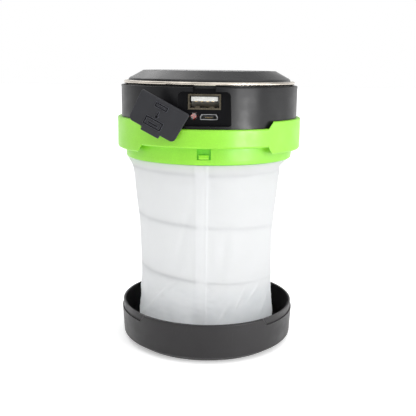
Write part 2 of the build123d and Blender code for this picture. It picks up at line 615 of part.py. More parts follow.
# ---------------------------------------------------------------- battery
def battery_tray():
    tray = disc(38.8, SHELL_Z, TRAY_T)
    length, width, _ = BATTERY_SIZE
    frame = Rectangle(length + 3.4, width + 3.4) - Rectangle(length + 1, width + 1)
    tray += Pos(0, 0, TRAY_TOP_Z) * extrude(frame, amount=3)
    for x, y, _ in around(HEAD_SCREW_R, HEAD_SCREW_ANGLES):
        tray -= rod(HOLE_R, (x, y, SHELL_Z - 1), (x, y, SHELL_Z + 3))
    for x, y, _ in around(LED_SCREW_R, LED_SCREW_ANGLES):
        tray += rod(2.4, (x, y, LED_BOARD_Z + LED_BOARD_T), (x, y, SHELL_Z))
        tray -= rod(HOLE_R, (x, y, LED_BOARD_Z), (x, y, TRAY_TOP_Z + 1))
    tray -= rod(1.8, (0, 24, SHELL_Z - 1), (0, 24, TRAY_TOP_Z + 1))
    return tray


def battery_pad():
    return block((-23, 23), (-15, 15), (TRAY_TOP_Z, TRAY_TOP_Z + PAD_T))


def battery_cell():
    length, width, height = BATTERY_SIZE
    cell = block((-length / 2, length / 2), (-width / 2, width / 2), (BATTERY_Z, BATTERY_Z + height))
    return fillet(cell.edges().filter_by(Axis.X), 1.5)


def battery_plug():
    return block((26.8, 31.4), (-3.4, 3.4), (PLUG_Z, PCB_Z))


def battery_leads():
    mid_z = BATTERY_Z + BATTERY_SIZE[2] / 2
    end_x, plug_x = BATTERY_SIZE[0] / 2, 29.1
    return [lead([(end_x, y, mid_z), (plug_x, y, mid_z), (plug_x, y, PLUG_Z)], 2.2) for y in (-1.2, 1.2)]


# ---------------------------------------------------------------- switch and button
def tact_switch():
    switch = block((-3.1, 3.1), (30.4, 34.2), (PCB_TOP_Z, PCB_TOP_Z + 5.6))
    return switch - rod(1.6, (0, 32.3, BUTTON_Z), (0, 36, BUTTON_Z))


def switch_plunger():
    return rod(1.55, (0, 33.1, BUTTON_Z), (0, 36.0, BUTTON_Z))


def power_button():
    cap = plate(SlotOverall(BUTTON_WIDTH, BUTTON_HEIGHT), 0, BUTTON_Z, BUTTON_FACE_Y, 37.2)
    cap = fillet(cap.faces().sort_by(Axis.Y)[-1].outer_wire().edges(), 0.6)
    cap += plate(SlotOverall(BUTTON_WIDTH + 2.4, 9.0), 0, BUTTON_Z, 38.2, 37.2)
    cap += rod(2.0, (0, 36.0, BUTTON_Z), (0, 37.5, BUTTON_Z))
    # a raised ring with a stroke at the top, the usual power sign
    sign = Circle(1.9) - Circle(1.4) - Pos(0, 1.7) * Rectangle(1.3, 1.4) + Pos(0, 1.5) * Rectangle(0.5, 1.7)
    return cap + plate(sign, 0, BUTTON_Z, BUTTON_FACE_Y + 0.2, BUTTON_FACE_Y - 0.3)


# ---------------------------------------------------------------- light unit under the head
def led_board():
    board = disc(LED_BOARD_R, LED_BOARD_Z, LED_BOARD_T)
    for x, y, z in around(LED_SCREW_R, LED_SCREW_ANGLES, LED_BOARD_Z):
        board -= rod(HOLE_R, (x, y, z - 1), (x, y, z + 3))
    return board


def led_chips():
    ring = around(19, range(0, 360, 30), LED_BOARD_Z - 0.4)
    return [Pos(x, y, z) * Box(2.8, 3.5, 0.8) for x, y, z in ring]


def torch_led():
    base = Pos(0, 0, LED_BOARD_Z - 0.35) * Box(5, 5, 0.7)
    return base + Pos(0, 0, LED_BOARD_Z - 0.7) * (Sphere(1.4) & Pos(0, 0, -1) * Box(3, 3, 2))


def led_screws():
    places = around(LED_SCREW_R, LED_SCREW_ANGLES)
    return [screw(x, y, LED_BOARD_Z, TRAY_TOP_Z - 0.3) for x, y, _ in places]


def reflector():
    top_z = BAND_Z - 0.1
    foot_z = DIFFUSER_Z + DIFFUSER_T
    return turned([(29.0, LED_BOARD_Z - 0.1), (32.4, foot_z), (33.4, foot_z), (33.4, top_z),
                   (LED_BOARD_R, top_z), (LED_BOARD_R, LED_BOARD_Z), (29.0, LED_BOARD_Z)])


def led_diffuser():
    return disc(35.3, DIFFUSER_Z, DIFFUSER_T)


def head_screws():
    places = around(HEAD_SCREW_R, HEAD_SCREW_ANGLES)
    return [screw(x, y, BAND_Z, TRAY_TOP_Z + 8) for x, y, _ in places]


def solar_leads():
    panel_z = DOME_TOP_Z - PANEL_SEAT_DEPTH
    rise_z = PCB_TOP_Z + 6
    wires = []
    for side in (-1, 1):
        foot_x, hole_x = 4 * side, 0.6 * side
        points = [(foot_x, 14, PCB_TOP_Z), (foot_x, 14, rise_z), (hole_x, 10, rise_z), (hole_x, 10, panel_z)]
        wires.append(lead(points, 1.5))
    return wires


def led_leads():
    top_z = LED_BOARD_Z + LED_BOARD_T
    return [rod(LEAD_R, (x, 24, top_z), (x, 24, PCB_Z)) for x in (-0.8, 0.8)]


# ---------------------------------------------------------------- write every node
os.makedirs("parts", exist_ok=True)

SINGLE_PIECES = (
    base_cup, base_lens, lens_gasket, shade_bottom_ring, shade, shade_top_ring, lock_ring, body_shell,
    dome_cover, solar_panel, solar_window, carry_handle, port_cover, usb_a_shell, usb_a_tongue,
    micro_usb_shell, micro_usb_tongue, charge_light, charge_light_dies, main_pcb, power_inductor,
    battery_tray, battery_pad, battery_cell, battery_plug, tact_switch, switch_plunger, power_button,
    led_board, torch_led, reflector, led_diffuser,
)
GROUPS = (
    base_screws, head_screws, dome_screws, pcb_screws, led_screws, led_chips, controller_chips, capacitors,
    usb_a_contacts, micro_usb_contacts, battery_leads, solar_leads, led_leads,
)

for make in SINGLE_PIECES:
    save(make.__name__, make())
for make in GROUPS:
    save(make.__name__, *make())
for hoop_name in HOOPS:
    save(hoop_name, hoop(hoop_name))
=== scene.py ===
import json
import math

import bpy
import numpy as np
from mathutils import Matrix, Vector, noise


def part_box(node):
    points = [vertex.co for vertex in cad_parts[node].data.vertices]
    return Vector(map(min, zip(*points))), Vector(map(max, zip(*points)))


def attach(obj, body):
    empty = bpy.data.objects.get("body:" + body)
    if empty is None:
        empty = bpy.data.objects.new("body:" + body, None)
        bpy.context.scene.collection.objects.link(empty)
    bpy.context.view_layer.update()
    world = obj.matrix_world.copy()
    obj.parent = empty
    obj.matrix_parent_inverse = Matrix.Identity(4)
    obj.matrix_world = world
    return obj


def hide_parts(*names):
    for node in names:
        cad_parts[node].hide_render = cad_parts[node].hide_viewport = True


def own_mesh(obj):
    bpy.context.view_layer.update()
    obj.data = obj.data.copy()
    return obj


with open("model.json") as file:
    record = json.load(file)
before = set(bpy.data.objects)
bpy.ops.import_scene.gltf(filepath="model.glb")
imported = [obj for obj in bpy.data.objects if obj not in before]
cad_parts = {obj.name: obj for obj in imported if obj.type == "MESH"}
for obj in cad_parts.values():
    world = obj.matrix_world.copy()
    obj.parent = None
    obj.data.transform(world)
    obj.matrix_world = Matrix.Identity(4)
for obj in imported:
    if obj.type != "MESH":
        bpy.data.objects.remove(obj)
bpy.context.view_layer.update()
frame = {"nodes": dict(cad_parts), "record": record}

# Collapsible camping lantern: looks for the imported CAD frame. Sizes below are in millimetres unless they say
# otherwise, and MM turns them into Blender's metres.
MM = 0.001

# ---------------------------------------------------------------- camera, as the photo was taken
CAMERA_DISTANCE = 330.4       # level distance from the lantern's axis
CAMERA_HEIGHT = 131.36
CAMERA_ORBIT = 3.0            # degrees round to the lantern's right
CAMERA_PITCH = 11.646         # degrees down
CAMERA_ROLL = 0.677           # degrees
CAMERA_LENS = 59.75           # focal length
SENSOR_WIDTH = 36

# ---------------------------------------------------------------- sleeve
SLEEVE_PROFILE = (            # (height, radius) from its foot in the cup to its flared top
    (3.3, 32.2), (11, 33.6), (21, 32.2), (34, 31.9), (47, 32.3),
    (62, 32.6), (73, 33.1), (79.6, 33.7), (85.3, 35.3), (89.4, 38.5),
)
SLEEVE_FOOT = SLEEVE_PROFILE[0][0]
SLEEVE_TOP = SLEEVE_PROFILE[-1][0]
FOOT_HOLD = 8                 # it hangs quite free from this far above its foot
TOP_HOLD = 9                  # to this far below its top
SLEEVE_SHIFT = 0.5            # between its ends it stands this far to the left
TOP_SHIFT = 1.5               # and further still just below its flared top
TOP_SHIFT_Z = 74
SLACK = 0.25                  # it hangs this far inside its outline between its ends
CRUMPLE_Z = 18                # it is crumpled most at this height
SLEEVE_R = 32.6               # mean radius, for lengths along the cloth
SEAM_ANGLE = math.radians(3.0)
SLEEVE_LAP = 5.4              # width of the bonded overlap down the front
LAP_LIFT = 0.2                # the outer layer stands this far off the inner one
LAP_RAMP = 1.2                # over this length
DOUBLED_RAMP = 1.8            # the doubled cloth's look fades in over this length
WELD_WIDTH = 0.4              # raised line along the free edge of the overlap
WELD_HEIGHT = 0.3
# the sheet's two long edges, as lengths along the cloth from the middle of the front
SHEET_START = (SEAM_ANGLE - SLEEVE_LAP / SLEEVE_R) * SLEEVE_R
SHEET_END = (SEAM_ANGLE + 2 * math.pi) * SLEEVE_R
SLEEVE_STEP = 0.6             # mesh spacing
HOOP_WIRE_R = 0.6
HOOPS = ("hoop_lower", "hoop_middle", "hoop_upper")
TENT_GAP = 0.1                # the cloth's clearance over a hoop
TENT_SLOPE = 0.1              # at which it falls away on both sides of it
TENT_ROUNDING = 0.4           # square millimetres, softens the bend between the two slopes
PAINTED_HOOP_LINE = 0.75              # half width of the painted shadow line that a hoop shows through the cloth
DIRT_AND_SHADE_Z = 31                  # painted shade, partly dirt, darkens the cloth below this height
# soft folds and creases: start and end as (degrees to the right of the front, height), width, lift
CREASES = (
    ((-9, 74), (-24, 40), 2.2, -0.8),
    ((19, 60), (14, 38), 2.4, -0.6),
    ((-24, 35.5), (-54, 19), 0.7, 0.65),
    ((-40, 22), (-72, 12), 1.3, 0.7),
    ((37, 32.5), (26, 21), 0.6, 0.65),
    ((54, 32.5), (38, 24), 0.7, 0.8),
    ((70, 24), (50, 15), 1.2, 0.5),
    ((20, 24), (10, 15), 0.8, 0.4),
    ((-72, 33), (-84, 18), 1.4, 0.5),
    ((118, 36), (92, 20), 1.1, 0.6),
    ((-122, 35), (-101, 19), 1.1, 0.6),
    ((176, 33), (152, 20), 1.0, 0.6),
    ((-160, 31), (-178, 22), 0.9, 0.5),
)

# ---------------------------------------------------------------- where a moulding changes its look
CUP_INSIDE_R = (40.75, 40.4)  # from the cup's rim to its inner wall
RECESS_R = (39.2, 40.6)       # from the port recess to the head's outside
COLLAR_R = (39.0, 38.7)       # from the collar's outside to the thin places round the snap bumps
MARKS_Y = (-44.25, -44.35)    # from the port cover's face to its raised marks
LENS_Z = (8, 6)               # below this, clear plastic is the torch lens
LENS_RING_PITCH = 0.9
WEAVE_PITCH = 0.34            # of the sleeve's threads

# ---------------------------------------------------------------- studio
# one side of the white tent each: axis, where its light starts to fade and stops, and the share left there
FADES = (
    ("Z", 0.1, 0.9, 0.34),     # overhead
    ("Y", -0.6, -0.9, 0.25),   # behind the camera
    ("X", -0.25, -0.85, 0.8),  # left
)
FLOOR_SIZE = 8                # metres
FLOOR_GLOW = 0.4
SUN_POWER = 2.0
SUN_WIDTH = math.radians(100)
SUN_DIRECTION = (-0.2, 0.3, -1)
# lamps: name, place, width and height in metres, power in watts
LAMP_AIM = (0, 0, 0.07)
KEY = ("key", (0.42, -0.36, 0.2), 0.3, 0.3, 0.7)
SHEENS = (
    ("front_sheen", (0.42, -0.38, 0.06), 0.26, 0.12, 1.9),
    ("side_sheen", (0.5, -0.02, 0.06), 0.34, 0.12, 0.22),
    ("dome_sheen", (-0.3, 0.45, 0.6), 0.55, 0.55, 1.1),
)


# ---------------------------------------------------------------- material builder
class Nodes:
    """Short ways of building a tree of shader nodes."""

    def __init__(self, tree):
        self.tree = tree

    def node(self, kind, **settings):
        made = self.tree.nodes.new(kind)
        for name, value in settings.items():
            setattr(made, name, value)
        return made

    def set_input(self, node, name, value):
        """A constant, or another node's output."""
        if isinstance(value, bpy.types.NodeSocket):
            self.tree.links.new(value, node.inputs[name])
        else:
            node.inputs[name].default_value = value

    def maths(self, operation, first, second=0.0):
        made = self.node("ShaderNodeMath", operation=operation)
        self.set_input(made, 0, first)
        self.set_input(made, 1, second)
        return made.outputs[0]

    def remap(self, value, low, high, new_low=0.0, new_high=1.0, interpolation="SMOOTHSTEP"):
        made = self.node("ShaderNodeMapRange", interpolation_type=interpolation)
        self.set_input(made, "Value", value)
        self.set_input(made, "From Min", low)
        self.set_input(made, "From Max", high)
        self.set_input(made, "To Min", new_low)
        self.set_input(made, "To Max", new_high)
        return made.outputs["Result"]


class Finish(Nodes):
    """A procedural material: a Principled shader and the textures that feed it. Sizes are in millimetres."""

    def __init__(self, name, colour, roughness, **settings):
        self.material = bpy.data.materials.new(name)
        self.material.use_nodes = True
        super().__init__(self.material.node_tree)
        self.shader = self.tree.nodes["Principled BSDF"]
        self.output = self.tree.nodes["Material Output"]
        self.place = self.node("ShaderNodeTexCoord").outputs["Object"]
        self.colour = colour
        self.set_input(self.shader, "Base Color", (*colour, 1))
        self.set_input(self.shader, "Roughness", roughness)
        for setting, value in settings.items():
            self.set_input(self.shader, setting.replace("_", " "), value)

    def stretched(self, scale):
        mapping = self.node("ShaderNodeMapping")
        self.set_input(mapping, "Vector", self.place)
        self.set_input(mapping, "Scale", scale)
        return mapping.outputs["Vector"]

    def cloud(self, size, detail=2.0, stretch=(1, 1, 1)):
        """Soft noise from 0 to 1, in patches about this size. A stretch below 1 draws them out that way."""
        texture = self.node("ShaderNodeTexNoise")
        self.set_input(texture, "Vector", self.stretched(stretch))
        self.set_input(texture, "Scale", 1 / (size * MM))
        self.set_input(texture, "Detail", detail)
        return texture.outputs[0]

    def cells(self, size):
        """Distance to the nearest of scattered points."""
        texture = self.node("ShaderNodeTexVoronoi")
        self.set_input(texture, "Vector", self.place)
        self.set_input(texture, "Scale", 1 / (size * MM))
        return texture.outputs["Distance"]

    def axes(self):
        """The point's x, y and z in metres."""
        split = self.node("ShaderNodeSeparateXYZ")
        self.set_input(split, "Vector", self.place)
        return split.outputs["X"], split.outputs["Y"], split.outputs["Z"]

    def radius(self):
        x, y, _ = self.axes()
        squares = self.maths("ADD", self.maths("MULTIPLY", x, x), self.maths("MULTIPLY", y, y))
        return self.maths("SQRT", squares)

    def across(self, position, limits):
        """Rises from 0 to 1 as a position goes from the first to the second of two limits in millimetres."""
        return self.remap(position, limits[0] * MM, limits[1] * MM)

    def stripes(self, along, pitch, share):
        """1 on lines across an axis, spaced by pitch and that share of it wide, 0 between them."""
        phase = self.maths("FRACT", self.maths("DIVIDE", along, pitch * MM))
        return self.maths("LESS_THAN", phase, share)

    def edge(self, radius):
        """Near 1 on edges sharper than this radius, 0 on open faces."""
        bevel = self.node("ShaderNodeBevel", samples=6)
        self.set_input(bevel, "Radius", radius * MM)
        dot = self.node("ShaderNodeVectorMath", operation="DOT_PRODUCT")
        self.set_input(dot, 0, bevel.outputs["Normal"])
        self.set_input(dot, 1, self.node("ShaderNodeNewGeometry").outputs["Normal"])
        return self.remap(dot.outputs["Value"], 0.995, 0.86)

    def attribute(self, name):
        return self.node("ShaderNodeAttribute", attribute_name=name).outputs["Fac"]

    def tint(self, amount, colour):
        """Moves the base colour towards another one by an amount that varies over the surface."""
        blend = self.node("ShaderNodeMix", data_type="RGBA")
        before = self.shader.inputs["Base Color"]
        blend.inputs[6].default_value = before.default_value
        if before.links:
            self.tree.links.new(before.links[0].from_socket, blend.inputs[6])
        blend.inputs[7].default_value = (*colour, 1)
        self.set_input(blend, 0, amount)
        self.set_input(self.shader, "Base Color", blend.outputs[2])

    def shade(self, amount, factor):
        """Makes the base colour lighter or darker by a factor, by an amount that varies over the surface."""
        self.tint(amount, [min(1.0, channel * factor) for channel in self.colour])

    def roughen(self, value, low, high):
        self.set_input(self.shader, "Roughness", self.remap(value, 0.3, 0.7, low, high))

    def relief(self, height, depth):
        """Adds a bump of this depth to what there is."""
        bump = self.node("ShaderNodeBump")
        self.set_input(bump, "Distance", depth * MM)
        self.set_input(bump, "Height", height)
        before = self.shader.inputs["Normal"]
        if before.links:
            self.tree.links.new(before.links[0].from_socket, bump.inputs["Normal"])
        self.set_input(self.shader, "Normal", bump.outputs["Normal"])

    def mix_in(self, kind, colour, share):
        """Mixes the main shader with this share of a second one."""
        second = self.node(kind)
        self.set_input(second, "Color", (*colour, 1))
        both = self.node("ShaderNodeMixShader")
        self.set_input(both, 0, share)
        self.tree.links.new(self.shader.outputs["BSDF"], both.inputs[1])
        self.tree.links.new(second.outputs["BSDF"], both.inputs[2])
        self.set_input(self.output, "Surface", both.outputs[0])


def moulded(name, colour, roughness, grain=0.3, depth=0.01, edge=1.5, **settings):
    """Injection-moulded plastic: spark-eroded grain, faint flow mottling, edges lightened partly by rubbing
    and partly as a painted highlight, and fine scuffs.
    """
    finish = Finish(name, colour, roughness, **settings)
    mottle = finish.cloud(13, detail=3)
    finish.shade(finish.remap(mottle, 0.35, 0.75, 0, 0.35), 0.8)
    finish.shade(finish.remap(finish.cloud(grain * 1.3, detail=1), 0.45, 0.75, 0, 0.3), 1.25)
    wear_and_highlight = finish.remap(finish.cloud(3.5, detail=4), 0.35, 0.65, 0.25, 1)
    # painted highlight on the edges, patchy so that it also stands for wear
    finish.shade(finish.maths("MULTIPLY", finish.edge(0.4), wear_and_highlight), edge)
    scuffs = finish.cloud(0.5, detail=1, stretch=(1, 1, 0.05))
    finish.shade(finish.remap(scuffs, 0.7, 0.78, 0, 0.25), edge)
    finish.roughen(finish.cloud(6, detail=4), roughness * 0.86, roughness * 1.14)
    finish.relief(finish.cloud(grain, detail=2), depth)
    return finish


# ---------------------------------------------------------------- materials, one for each slot of the record
def cup_plastic():
    finish = moulded("cup_plastic", (0.0185, 0.017, 0.0185), 0.42, grain=0.28, depth=0.012, edge=2.6)
    # painted shade: blacker inside the cup, and duller there too
    shaded_inside = finish.across(finish.radius(), CUP_INSIDE_R)
    finish.tint(finish.maths("MULTIPLY", shaded_inside, 0.8), (0.003, 0.003, 0.003))
    finish.set_input(finish.shader, "Specular IOR Level", finish.remap(shaded_inside, 0, 1, 0.34, 0.12))
    return finish.material


def shell_plastic():
    finish = moulded("shell_plastic", (0.006, 0.006, 0.007), 0.34, grain=0.25, depth=0.008, edge=2.2)
    # the port recess is duller than the outside
    outside = finish.across(finish.radius(), RECESS_R)
    finish.set_input(finish.shader, "Specular IOR Level", finish.remap(outside, 0, 1, 0.06, 0.23, "LINEAR"))
    return finish.material


def dome_plastic():
    finish = moulded("dome_plastic", (0.009, 0.009, 0.01), 0.3, grain=0.22, depth=0.006, edge=2.0,
                     Specular_IOR_Level=0.4)
    return finish.material


def green_plastic():
    finish = moulded("green_plastic", (0.27, 0.68, 0.03), 0.4, grain=0.35, depth=0.008, edge=1.4,
                     Specular_IOR_Level=0.5, Subsurface_Weight=0.12, Subsurface_Radius=(0.004, 0.006, 0.002))
    # painted shade: a deeper, darker green in the thin recesses around the snap bumps
    shaded_thin_places = finish.across(finish.radius(), COLLAR_R)
    finish.tint(finish.maths("MULTIPLY", shaded_thin_places, 0.8), (0.13, 0.6, 0.0))
    return finish.material


def white_plastic():
    return moulded("white_plastic", (0.68, 0.68, 0.655), 0.4, edge=1.1).material


def black_plastic():
    return moulded("black_plastic", (0.02, 0.02, 0.02), 0.45).material


def cover_rubber():
    """Soft moulded rubber: matt, faintly blue, with bloom and dust in the hollows, and a painted highlight
    along its edges.
    """
    finish = Finish("cover_rubber", (0.0125, 0.013, 0.0165), 0.46, Specular_IOR_Level=0.4)
    finish.shade(finish.remap(finish.cloud(5, detail=4), 0.4, 0.7, 0, 0.5), 1.3)
    # painted highlight along the cover's edges
    finish.shade(finish.maths("MULTIPLY", finish.edge(0.5), 0.9), 8)
    finish.tint(finish.remap(finish.cells(0.9), 0.08, 0.03, 0, 0.1), (0.2, 0.2, 0.2))
    # the raised marks are rubbed smooth and dark, with a painted highlight along their rim
    _, y, _ = finish.axes()
    marks = finish.across(y, MARKS_Y)
    finish.tint(finish.maths("MULTIPLY", marks, 0.9), (0.002, 0.002, 0.0025))
    finish.tint(finish.maths("MULTIPLY", marks, finish.edge(0.15)), (0.13, 0.132, 0.14))
    finish.set_input(finish.shader, "Specular IOR Level", finish.remap(marks, 0, 1, 0.4, 0.05))
    finish.roughen(finish.cloud(4, detail=3), 0.44, 0.58)
    finish.relief(finish.cloud(0.16, detail=2), 0.012)
    return finish.material


def button_rubber():
    finish = moulded("button_rubber", (0.27, 0.66, 0.035), 0.5, grain=0.2, depth=0.01, edge=1.2)
    return finish.material


def gasket_rubber():
    finish = Finish("gasket_rubber", (0.02, 0.02, 0.02), 0.6)
    finish.shade(finish.cloud(1.2), 1.8)
    finish.relief(finish.cloud(0.2), 0.02)
    return finish.material


def stainless_wire():
    """Drawn and polished stainless steel, a little warm, with fine draw lines and small marks."""
    finish = Finish("stainless_wire", (0.66, 0.605, 0.53), 0.2, Metallic=1.0)
    finish.shade(finish.remap(finish.cloud(7, detail=4), 0.4, 0.65), 0.78)
    finish.tint(finish.remap(finish.cells(1.6), 0.09, 0.04, 0, 0.5), (0.3, 0.27, 0.24))
    finish.roughen(finish.cloud(2.5, detail=5), 0.14, 0.3)
    finish.relief(finish.cloud(0.12, detail=3, stretch=(0.2, 0.2, 1)), 0.004)
    return finish.material


def metal(name, colour, roughness, streak=(1, 1, 1)):
    """Pressed or turned metal: tarnish in patches and a directional grain."""
    finish = Finish(name, colour, roughness, Metallic=1.0)
    finish.shade(finish.remap(finish.cloud(1.8, detail=4), 0.4, 0.7), 0.7)
    finish.roughen(finish.cloud(0.9, detail=3), roughness * 0.75, roughness * 1.3)
    finish.relief(finish.cloud(0.1, stretch=streak), 0.004)
    return finish.material


def screw_steel():
    return metal("screw_steel", (0.6, 0.6, 0.6), 0.3)


def spring_steel():
    return metal("spring_steel", (0.55, 0.56, 0.57), 0.35)


def socket_metal():
    return metal("socket_metal", (0.14, 0.122, 0.09), 0.28, streak=(1, 0.15, 1))


def contact_gold():
    return metal("contact_gold", (0.9, 0.66, 0.28), 0.22, streak=(1, 0.15, 1))


def can_aluminium():
    return metal("can_aluminium", (0.75, 0.75, 0.76), 0.3, streak=(1, 1, 0.2))


def clear_plastic():
    """Clear polycarbonate with fine hairlines and, on the torch lens in the base, shallow ring prisms."""
    finish = Finish("clear_plastic", (0.96, 0.98, 0.99), 0.05, IOR=1.5, Transmission_Weight=1.0)
    _, _, z = finish.axes()
    pitch = LENS_RING_PITCH * MM
    rings = finish.maths("DIVIDE", finish.maths("PINGPONG", finish.radius(), pitch), pitch)
    finish.relief(finish.maths("MULTIPLY", rings, finish.across(z, LENS_Z)), 0.05)
    finish.roughen(finish.cloud(5, detail=5), 0.035, 0.06)
    finish.relief(finish.cloud(0.3, detail=1, stretch=(1, 0.08, 1)), 0.0002)
    # seen square on, most light passes straight through and lights what lies under it
    tilt = finish.node("ShaderNodeLayerWeight").outputs["Facing"]
    passing = finish.remap(tilt, 0.5, 0.95, 0.8, 0.2)
    finish.mix_in("ShaderNodeBsdfTransparent", (0.95, 0.97, 0.98), passing)
    return finish.material


def frosted_plastic():
    finish = Finish("frosted_plastic", (0.93, 0.94, 0.94), 0.55, IOR=1.5, Transmission_Weight=0.35)
    finish.shade(finish.remap(finish.cloud(9, detail=3), 0.4, 0.7, 0, 0.3), 0.93)
    finish.relief(finish.cloud(0.25, detail=3), 0.02)
    return finish.material


def solar_cell():
    """Dark blue silicon in strips, with fine silver fingers across them and a wide bar down each."""
    finish = Finish("solar_cell", (0.006, 0.014, 0.075), 0.25)
    x, y, _ = finish.axes()
    finish.tint(finish.remap(finish.cloud(7, detail=3), 0.35, 0.65, 0, 0.6), (0.012, 0.027, 0.12))
    finish.tint(finish.stripes(y, 2.4, 0.07), (0.11, 0.13, 0.2))
    finish.tint(finish.stripes(finish.maths("ADD", x, 5 * MM), 10.0, 0.1), (0.55, 0.56, 0.58))
    finish.tint(finish.stripes(x, 10.0, 0.05), (0.22, 0.24, 0.28))
    finish.roughen(finish.cloud(3), 0.2, 0.3)
    finish.relief(finish.cloud(0.4), 0.002)
    return finish.material


def board(name, colour, trace):
    """Solder mask over copper: tracks just show through it as slightly paler, raised runs."""
    finish = Finish(name, colour, 0.32, Coat_Weight=0.3)
    x, y, _ = finish.axes()
    bend = finish.maths("MULTIPLY", finish.cloud(9, detail=0), 3 * MM)
    tracks = finish.stripes(finish.maths("ADD", x, bend), 2.2, 0.3)
    across = finish.stripes(finish.maths("SUBTRACT", y, bend), 3.1, 0.2)
    copper = finish.maths("MAXIMUM", tracks, across)
    finish.tint(finish.maths("MULTIPLY", copper, 0.6), trace)
    finish.relief(copper, 0.02)
    finish.relief(finish.cloud(0.3), 0.005)
    return finish.material


def circuit_board():
    return board("circuit_board", (0.012, 0.09, 0.035), (0.03, 0.19, 0.07))


def white_board():
    return board("white_board", (0.78, 0.79, 0.77), (0.68, 0.7, 0.66))


def led_phosphor():
    finish = Finish("led_phosphor", (0.86, 0.62, 0.1), 0.4)
    finish.shade(finish.cloud(0.3, detail=3), 0.85)
    finish.relief(finish.cloud(0.1), 0.01)
    return finish.material


def red_dies():
    """The charge light's dies and reflector cup: red, with pale painted glints in patches."""
    finish = Finish("red_dies", (0.75, 0.045, 0.02), 0.3, Coat_Weight=0.6)
    finish.tint(finish.remap(finish.cloud(1.3, detail=2), 0.48, 0.56), (0.75, 0.7, 0.66))
    finish.tint(finish.remap(finish.cloud(0.8, detail=1), 0.6, 0.66), (0.9, 0.12, 0.05))
    finish.relief(finish.cloud(0.4), 0.05)
    return finish.material


def ferrite():
    finish = Finish("ferrite", (0.05, 0.05, 0.052), 0.6)
    finish.shade(finish.cloud(0.7, detail=4), 1.6)
    finish.relief(finish.cloud(0.15), 0.02)
    return finish.material


def cell_foil():
    finish = Finish("cell_foil", (0.66, 0.67, 0.69), 0.3, Metallic=0.9)
    finish.shade(finish.cloud(6, detail=4), 0.85)
    finish.relief(finish.cloud(4, detail=3), 0.15)
    return finish.material


def foam():
    finish = Finish("foam", (0.05, 0.05, 0.055), 0.95)
    finish.shade(finish.remap(finish.cells(0.5), 0.1, 0.5), 1.8)
    finish.relief(finish.cells(0.5), 0.15)
    return finish.material


def lead_insulation():
    finish = Finish("lead_insulation", (0.45, 0.03, 0.02), 0.45)
    finish.shade(finish.cloud(2), 0.8)
    finish.relief(finish.cloud(0.2), 0.01)
    return finish.material


def shade_sheet():
    """White translucent coated cloth: light comes through it, less so where it is doubled. Painted shade,
    partly dirt, darkens it low down, and it carries painted hoop shadows and painted highlights.
    """
    finish = Finish("shade_sheet", (0.86, 0.865, 0.87), 0.46, Specular_IOR_Level=0.3)
    finish.shade(finish.remap(finish.cloud(11, detail=4), 0.35, 0.75, 0, 0.5), 0.94)
    finish.tint(finish.maths("MULTIPLY", finish.attribute("weld"), 0.85), (0.94, 0.95, 0.96))
    # painted shade, partly dirt, low down and under the lowest hoop
    finish.tint(finish.maths("MULTIPLY", finish.attribute("dirt_and_shade"), 0.7), (0.62, 0.65, 0.68))
    # painted highlights on sharp creases and over the hoops on the right
    finish.tint(finish.maths("MULTIPLY", finish.attribute("ridge_and_highlight"), 0.75), (0.94, 0.95, 0.96))
    # painted shadow lines of the hoops on the left
    finish.tint(finish.maths("MULTIPLY", finish.attribute("wire_shadow"), 0.5), (0.42, 0.44, 0.45))
    finish.roughen(finish.cloud(4, detail=3), 0.4, 0.55)
    _, _, z = finish.axes()
    thread = finish.maths("SINE", finish.maths("MULTIPLY", z, 2 * math.pi / (WEAVE_PITCH * MM)))
    finish.relief(thread, 0.004)
    finish.relief(finish.cloud(0.5, detail=3), 0.03)
    finish.relief(finish.cloud(3.0, detail=2), 0.08)
    doubled = finish.maths("MULTIPLY", finish.attribute("doubled"), 0.03)
    through = finish.maths("SUBTRACT", 0.55, doubled)
    finish.mix_in("ShaderNodeBsdfTranslucent", (0.965, 0.97, 0.975), through)
    return finish.material


SLOTS = (
    cup_plastic, shell_plastic, dome_plastic, green_plastic, shade_sheet, clear_plastic, frosted_plastic,
    white_plastic, black_plastic, cover_rubber, gasket_rubber, button_rubber, stainless_wire, screw_steel,
    spring_steel, socket_metal, contact_gold, solar_cell, circuit_board, white_board, led_phosphor, red_dies,
    ferrite, can_aluminium, cell_foil, foam, lead_insulation,
)
materials = {make.__name__: make() for make in SLOTS}


def add_object(name, data):
    """A new object in the scene that shows this mesh, lamp or camera."""
    made = bpy.data.objects.new(name, data)
    bpy.context.scene.collection.objects.link(made)
    return made


def dress_nodes():
    """Every CAD node takes the finish of the record's slot that it names."""
    for part in frame["record"]["subparts"]:
        mesh = frame["nodes"][part["node"]].data
        mesh.materials.clear()
        mesh.materials.append(materials[part["material_slot"]])


# ---------------------------------------------------------------- sleeve
def bell(distance, width):
    return np.exp(-(distance / width) ** 2)


def sleeve_radius(height):
    """The outline, with the corners between its points smoothed away."""
    heights, radii = zip(*SLEEVE_PROFILE)
    fine = np.linspace(heights[0] - 6, heights[-1] + 6, 500)
    slope = (radii[-1] - radii[-2]) / (heights[-1] - heights[-2])
    rough = np.interp(fine, heights, radii) + slope * np.maximum(fine - heights[-1], 0)
    window = bell(np.linspace(-2, 2, 41), 1.0)
    return np.interp(height, fine, np.convolve(rough, window / window.sum(), "same"))


def hoop_circle(name):
    """A hoop's height and outer radius in millimetres, and how far it leans to the right in radians."""
    low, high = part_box(name)
    radius = (high.y - low.y) / 2 / MM
    rise = (high.z - low.z) / 2 / MM - HOOP_WIRE_R
    return (low.z + high.z) / 2 / MM, radius, math.asin(rise / (radius - HOOP_WIRE_R))


